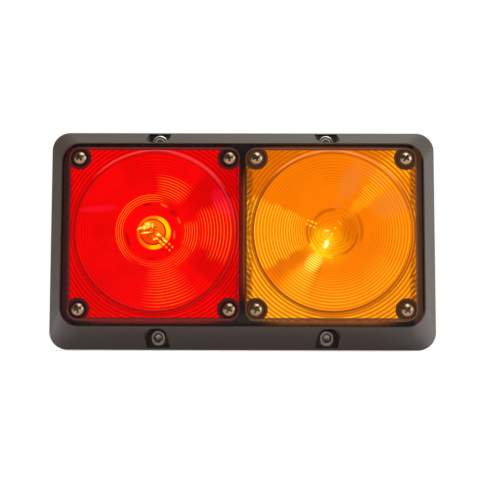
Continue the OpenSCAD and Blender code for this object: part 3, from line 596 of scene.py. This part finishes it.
# Bulbs: a clear glass globe in a brass bayonet cap, with a coiled tungsten wire on
# two leads. Both bulbs are lit. The flames are the bright images of the wire in the
# globe, each a place, two radii and a turn.
flames = {
    "red": (((-2.6, 3.2), (1.5, 1.4), 20), ((-6.0, 1.9), (2.9, 0.5), 14),
            ((-4.2, 1.9), (0.9, 0.9), 0), ((-3.4, -1.0), (2.2, 0.35), 5),
            ((3.4, -2.2), (0.8, 0.8), 0), ((1.4, -4.4), (0.8, 0.4), 30),
            ((6.6, -5.2), (1.0, 0.7), -40), ((0.2, 2.9), (0.35, 1.2), 0)),
    "amber": (((-2.4, -4.6), (1.5, 2.6), -25), ((-1.2, 2.0), (1.1, 0.35), 5),
              ((1.2, 0.4), (0.5, 0.4), 0), ((-4.6, -7.0), (2.0, 2.4), -25)),
}
for side in lens_x:
    clear, start, point = finish(side + "_bulb_glass")
    x, y, z = point.parts()
    u, v = x - bulb_at[side][0], z - bulb_at[side][1]
    swirl = noise(point, 0.30, 3.0, Distortion=1.5)
    if side == "red":
        # The inside of the globe shows a darker disc with a thin outline, and the
        # glass beyond it is brightest at the upper right and below
        angle = angle_of(u, v)
        disc = length(u - 0.2, v + 0.4)
        rich = away(angle, 22).rise(62, 25) + away(angle, -80).rise(30, 12) * 0.8
        glow = (u + swirl * 4).rise(-9, -1).mix((0.95, 0.10, 0.0), (1.05, 0.40, 0.0))
        glow = rich.mix(glow, (1.4, 1.35, 0.0))
        inner = (v + u * 0.4).rise(-5, 5).mix((0.92, 0.11, 0.0), (1.05, 0.38, 0.01))
        glow = disc.rise(6.7, 7.0).mix(inner, glow)
        # A small hub with cogs round it stands in the middle of the disc
        hub_u, hub_v = u + 0.5, v + 0.2
        hub = length(hub_u, hub_v)
        cogs = (start.math("SINE", start.math("ARCTAN2", hub_v, hub_u) * 11).rise(-0.2, 0.5)
                * hub.near(2.8, 0.6, 0.3))
        dark = most(disc.near(6.85, 0.28, 0.22), hub.near(1.5, 0.25, 0.25), cogs * 0.8)
        glow = dark.mix(glow, (0.40, 0.0, 0.0))
    else:
        glow = length(u, v).rise(6.8, 7.6).mix(
            swirl.rise(0.3, 0.7).mix((1.0, 0.38, 0.01), (0.8, 0.24, 0.0)), (1.0, 0.25, 0.005))
    for at, radii, turn in flames[side]:
        flame = oval(u, v, at, radii, turn)
        glow = flame.rise(3.6, 0.8).mix(glow, (1.4, 0.95, 0.02))
        glow = flame.rise(1.3, 0.2).mix(glow, (2.6, 2.2, 1.1))
    shader = start.node("BsdfPrincipled", (), {
        "Base Color": (0.06, 0.04, 0.02, 1), "Roughness": 0.06, "IOR": 1.5,
        "Emission Color": glow, "Emission Strength": 1.0})
    hole = start.node("BsdfTransparent", (), {"Color": (1.0, 0.97, 0.9, 1)})
    veil = start.node("LayerWeight", (), {"Blend": 0.5}, out=1)
    start.node("MixShader", (), {0: veil.rise(0.0, 0.8) * 0.10 + 0.86,
                                 1: hole, 2: shader}).into("OutputMaterial")
    dress(clear, side + "_bulb_glass")


# Filaments: a coil of tungsten wire on two leads, white hot, with its glow a
# little uneven along the wire.
hot, start, point = finish("glowing_tungsten")
heat = noise(point, 1.2, 2.0)
surface(start, base_color=heat.mix((0.4, 0.36, 0.3), (0.5, 0.45, 0.35)), roughness=0.5,
        metallic=1.0, emission_color=heat.mix((1.0, 0.60, 0.20), (1.0, 0.8, 0.45)),
        emission_strength=4.0)
dress(hot, "red_bulb_filament", "amber_bulb_filament")


# Bulb caps and holder brass: bayonet caps, pressed tubes and contact strips of thin
# rolled brass, which has gone brown in patches.
brass, start, point = finish("rolled_brass")
stain = noise(point, 0.5, 5.0, Roughness=0.65)
surface(start, base_color=stain.mix((0.74, 0.56, 0.27), (0.45, 0.31, 0.13)),
        metallic=1.0, roughness=0.28 + stain * 0.2, normal=bump(stain, 0.15))
dress(brass, *(side + part for side in lens_x
               for part in ("_bulb_cap", "_holder_tube", "_holder_terminals")))


# Foot of each bulb with its contacts: black glass, poured into the cap, with fine
# specks in its gloss.
foot, start, point = finish("black_glass_foot")
speck = noise(point, 2.0, 3.0)
surface(start, base_color=speck.mix((0.015, 0.013, 0.012), (0.05, 0.045, 0.04)),
        roughness=0.25 + speck * 0.2)
dress(foot, "red_bulb_contacts", "amber_bulb_contacts")


# Holder bases: brown laminated board, sawn to size, with the layers showing as
# fine lines.
board, start, point = finish("laminated_board")
weave = noise(stretched(point, (0.3, 6.0, 0.3)), 0.8, 4.0)
surface(start, base_color=weave.mix((0.13, 0.055, 0.022), (0.24, 0.12, 0.05)),
        roughness=0.55 + weave * 0.2, normal=bump(weave, 0.2))
dress(board, "red_holder_base", "amber_holder_base")


bpy.context.scene.view_settings.view_transform = "Standard"
